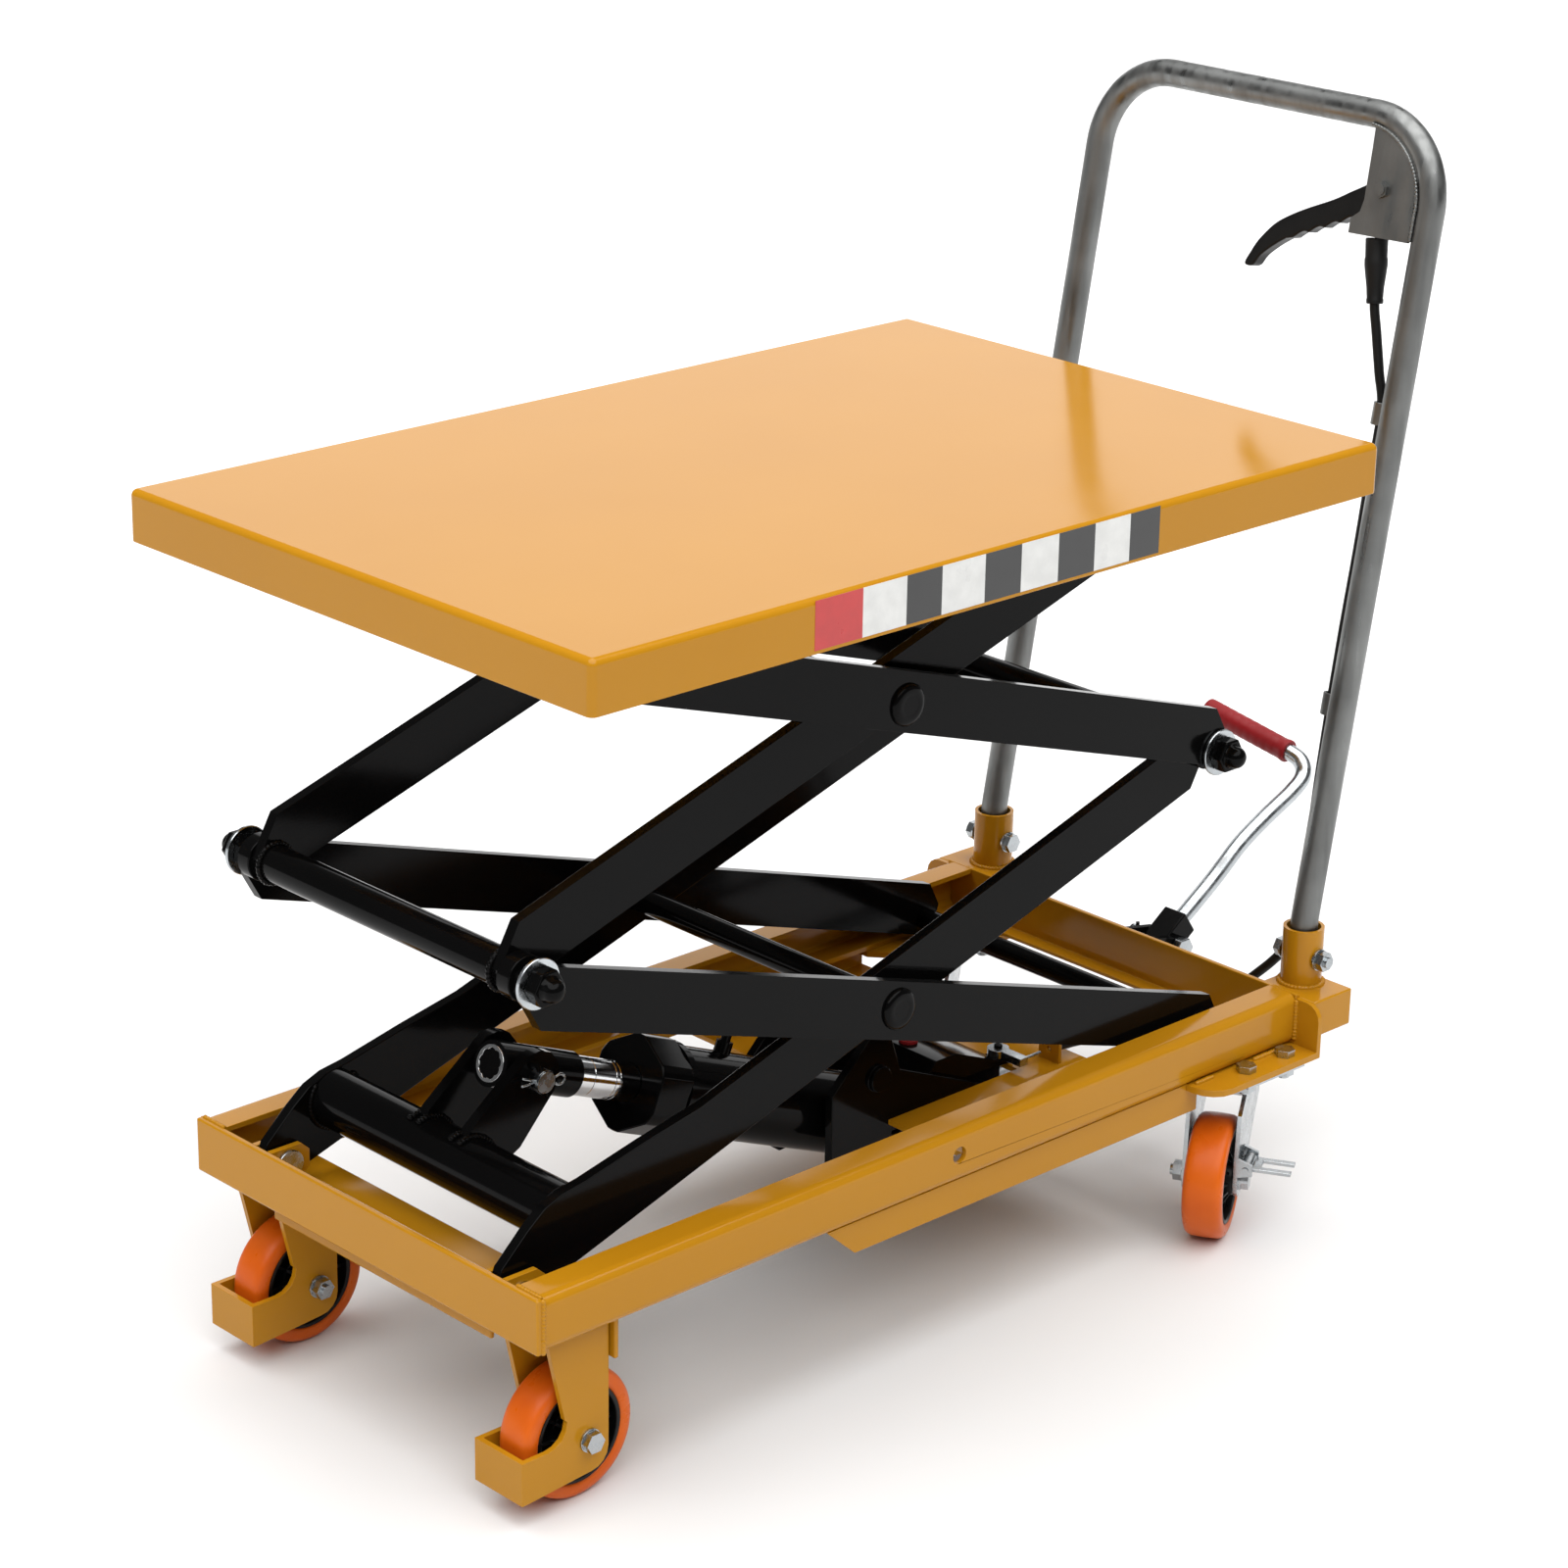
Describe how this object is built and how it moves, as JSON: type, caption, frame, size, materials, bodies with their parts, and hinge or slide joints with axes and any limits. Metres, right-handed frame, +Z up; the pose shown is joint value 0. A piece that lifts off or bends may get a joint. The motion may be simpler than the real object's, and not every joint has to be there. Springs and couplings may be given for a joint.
{
  "type": "scissor lift table",
  "caption": "Hand hydraulic lift table with stacked scissor arms, a flat deck, push handle, foot pump, fixed front wheels and braked swivel casters.",
  "frame": {"origin": "on the floor under the middle of the whole table", "axes": "+X towards the handle, +Y to the left of someone who looks along +X, +Z up"},
  "size_m": [0.9375, 0.4501, 0.7829],
  "materials": {
    "yellow_paint": "glossy amber powder coat",
    "black_paint": "glossy black enamel",
    "zinc_plate": "bright zinc plate",
    "grey_tube": "satin grey chromed tube",
    "chrome": "hard chrome",
    "black_rubber": "soft black sheath",
    "black_plastic": "moulded black nylon",
    "orange_tyre": "cast orange polyurethane",
    "roller_steel": "turned steel",
    "red_rubber": "soft red sleeve"
  },
  "bodies": {
    "base": {"side_rails": "yellow_paint", "front_beam": "yellow_paint", "front_wheel_brackets": "yellow_paint", "rear_cross_plate": "yellow_paint", "handle_boxes": "yellow_paint", "caster_mounts": "yellow_paint", "caster_tops": "zinc_plate", "handle_sockets": "yellow_paint", "handle": "grey_tube", "frame_bolts": "zinc_plate", "lever_bracket": "grey_tube", "cable_boot": "black_rubber", "release_cable": "black_rubber", "cable_clips": "grey_tube", "pump_tray": "yellow_paint", "pump_cradle": "black_paint", "pump_block": "black_paint", "pedal_bracket": "black_paint", "pivot_ears": "yellow_paint", "base_pins": "zinc_plate"},
    "lower_inner": {"lower_inner_arms": "black_paint", "lower_cross_tubes": "black_paint", "ram_lugs": "black_paint", "rear_joint_rod": "black_paint", "rear_joint_nuts": "black_paint"},
    "ram": {"rod_head": "black_paint", "piston_rod": "chrome"},
    "cylinder": {"cylinder_barrel": "black_paint", "gland_nut": "black_paint"},
    "lower_outer": {"lower_outer_arms": "black_paint", "roller_axle": "black_paint"},
    "lower_roller_left": {"lower_roller_left": "roller_steel"},
    "lower_roller_right": {"lower_roller_right": "roller_steel"},
    "upper_inner": {"upper_inner_arms": "black_paint", "upper_cross_rods": "black_paint", "front_joint_rod": "black_paint", "front_joint_nuts": "black_paint"},
    "upper_roller_left": {"upper_roller_left": "roller_steel"},
    "upper_roller_right": {"upper_roller_right": "roller_steel"},
    "upper_outer": {"upper_outer_arms": "black_paint"},
    "platform": {"deck": "yellow_paint", "deck_tracks": "yellow_paint", "deck_ears": "yellow_paint"},
    "front_wheel_left": {"front_tyre_left": "orange_tyre", "front_hub_left": "black_plastic"},
    "front_wheel_right": {"front_tyre_right": "orange_tyre", "front_hub_right": "black_plastic"},
    "caster_left": {"caster_fork_left": "zinc_plate"},
    "caster_right": {"caster_fork_right": "zinc_plate"},
    "caster_wheel_left": {"caster_tyre_left": "orange_tyre", "caster_hub_left": "black_plastic"},
    "caster_wheel_right": {"caster_tyre_right": "orange_tyre", "caster_hub_right": "black_plastic"},
    "brake_left": {"brake_left": "zinc_plate"},
    "brake_right": {"brake_right": "zinc_plate"},
    "pedal": {"pedal_lever": "zinc_plate", "pedal_grip": "red_rubber"},
    "pump_plunger": {"plunger": "zinc_plate"},
    "release_grip": {"release_lever": "black_plastic"},
    "valve": {"valve_arm": "zinc_plate"}
  },
  "joints": [
    {"name": "lift", "type": "hinge", "parent": "base", "child": "lower_inner", "pos_m": [-0.4455, 0, 0.146], "axis": [0, -1, 0], "range_deg": [-14.35, 26.15]},
    {"name": "lower_crossing", "type": "hinge", "parent": "lower_inner", "child": "lower_outer", "pos_m": [-0.13556, 0, 0.25181], "axis": [0, -1, 0], "range_deg": [-52.4, 28.8]},
    {"name": "front_middle_joint", "type": "hinge", "parent": "lower_outer", "child": "upper_inner", "pos_m": [-0.4455, 0, 0.35763], "axis": [0, -1, 0], "range_deg": [-28.8, 52.4]},
    {"name": "upper_crossing", "type": "hinge", "parent": "upper_inner", "child": "upper_outer", "pos_m": [-0.13556, 0, 0.46344], "axis": [0, -1, 0], "range_deg": [-52.4, 28.8]},
    {"name": "deck_front_joint", "type": "hinge", "parent": "upper_outer", "child": "platform", "pos_m": [-0.4455, 0, 0.56925], "axis": [0, -1, 0], "range_deg": [-14.4, 26.2]},
    {"name": "ram_pin_joint", "type": "hinge", "parent": "lower_inner", "child": "ram", "pos_m": [-0.345, 0, 0.22395], "axis": [0, -1, 0], "range_deg": [-30.03, 16.53]},
    {"name": "ram_slide", "type": "slide", "parent": "ram", "child": "cylinder", "axis": [0.9232, 0, -0.3843], "range_m": [-0.02845, 0.05168]},
    {"name": "lower_roller_left_spin", "type": "hinge", "parent": "lower_outer", "child": "lower_roller_left", "pos_m": [0.17437, -0.1565, 0.146], "axis": [0, 1, 0], "continuous": true},
    {"name": "lower_roller_right_spin", "type": "hinge", "parent": "lower_outer", "child": "lower_roller_right", "pos_m": [0.17437, 0.1565, 0.146], "axis": [0, 1, 0], "continuous": true},
    {"name": "upper_roller_left_spin", "type": "hinge", "parent": "upper_inner", "child": "upper_roller_left", "pos_m": [0.17437, -0.1565, 0.56925], "axis": [0, 1, 0], "continuous": true},
    {"name": "upper_roller_right_spin", "type": "hinge", "parent": "upper_inner", "child": "upper_roller_right", "pos_m": [0.17437, 0.1565, 0.56925], "axis": [0, 1, 0], "continuous": true},
    {"name": "front_wheel_left_spin", "type": "hinge", "parent": "base", "child": "front_wheel_left", "pos_m": [-0.419, -0.139, 0.045], "axis": [0, 1, 0], "continuous": true},
    {"name": "front_wheel_right_spin", "type": "hinge", "parent": "base", "child": "front_wheel_right", "pos_m": [-0.419, 0.139, 0.045], "axis": [0, 1, 0], "continuous": true},
    {"name": "caster_left_swivel", "type": "hinge", "parent": "base", "child": "caster_left", "pos_m": [0.198, -0.15, 0.11], "axis": [0, 0, 1], "continuous": true},
    {"name": "caster_wheel_left_spin", "type": "hinge", "parent": "caster_left", "child": "caster_wheel_left", "pos_m": [0.16336, -0.17, 0.045], "axis": [-0.5, 0.866, 0], "continuous": true},
    {"name": "brake_left_press", "type": "hinge", "parent": "caster_left", "child": "brake_left", "pos_m": [0.17611, -0.19208, 0.058], "axis": [0.866, 0.5, 0], "range_deg": [0, 12]},
    {"name": "caster_right_swivel", "type": "hinge", "parent": "base", "child": "caster_right", "pos_m": [0.198, 0.15, 0.11], "axis": [0, 0, 1], "continuous": true},
    {"name": "caster_wheel_right_spin", "type": "hinge", "parent": "caster_right", "child": "caster_wheel_right", "pos_m": [0.16523, 0.12706, 0.045], "axis": [-0.5736, 0.8192, 0], "continuous": true},
    {"name": "brake_right_press", "type": "hinge", "parent": "caster_right", "child": "brake_right", "pos_m": [0.17986, 0.10617, 0.058], "axis": [0.8192, 0.5736, 0], "range_deg": [0, 12]},
    {"name": "foot_pedal", "type": "hinge", "parent": "base", "child": "pedal", "pos_m": [0.293, 0, 0.137], "axis": [0, 1, 0], "range_deg": [0, 40], "stiffness_Nm_per_rad": 3, "springref_deg": -34.38},
    {"name": "pump_stroke", "type": "slide", "parent": "base", "child": "pump_plunger", "axis": [-1, 0, 0], "range_m": [0, 0.0372]},
    {"name": "release_squeeze", "type": "hinge", "parent": "base", "child": "release_grip", "pos_m": [0.35783, -0.1175, 0.72372], "axis": [0.9851, 0, -0.1719], "range_deg": [0, 18], "stiffness_Nm_per_rad": 0.8, "springref_deg": -28.65},
    {"name": "valve_turn", "type": "hinge", "parent": "base", "child": "valve", "pos_m": [0.086, -0.028, 0.117], "axis": [0, 0, 1], "range_deg": [0, 18.1]}
  ],
  "couplings": [
    {"joint": "lower_crossing", "follows": "lift", "ratio": -2},
    {"joint": "front_middle_joint", "follows": "lift", "ratio": 2},
    {"joint": "upper_crossing", "follows": "lift", "ratio": -2},
    {"joint": "deck_front_joint", "follows": "lift", "ratio": 1},
    {"joint": "ram_pin_joint", "follows": "lift", "ratio": -1.1446},
    {"joint": "ram_slide", "follows": "lift", "m_per_rad": 0.1128},
    {"joint": "pump_stroke", "follows": "foot_pedal", "m_per_rad": 0.0529},
    {"joint": "valve_turn", "follows": "release_squeeze", "ratio": 1}
  ]
}
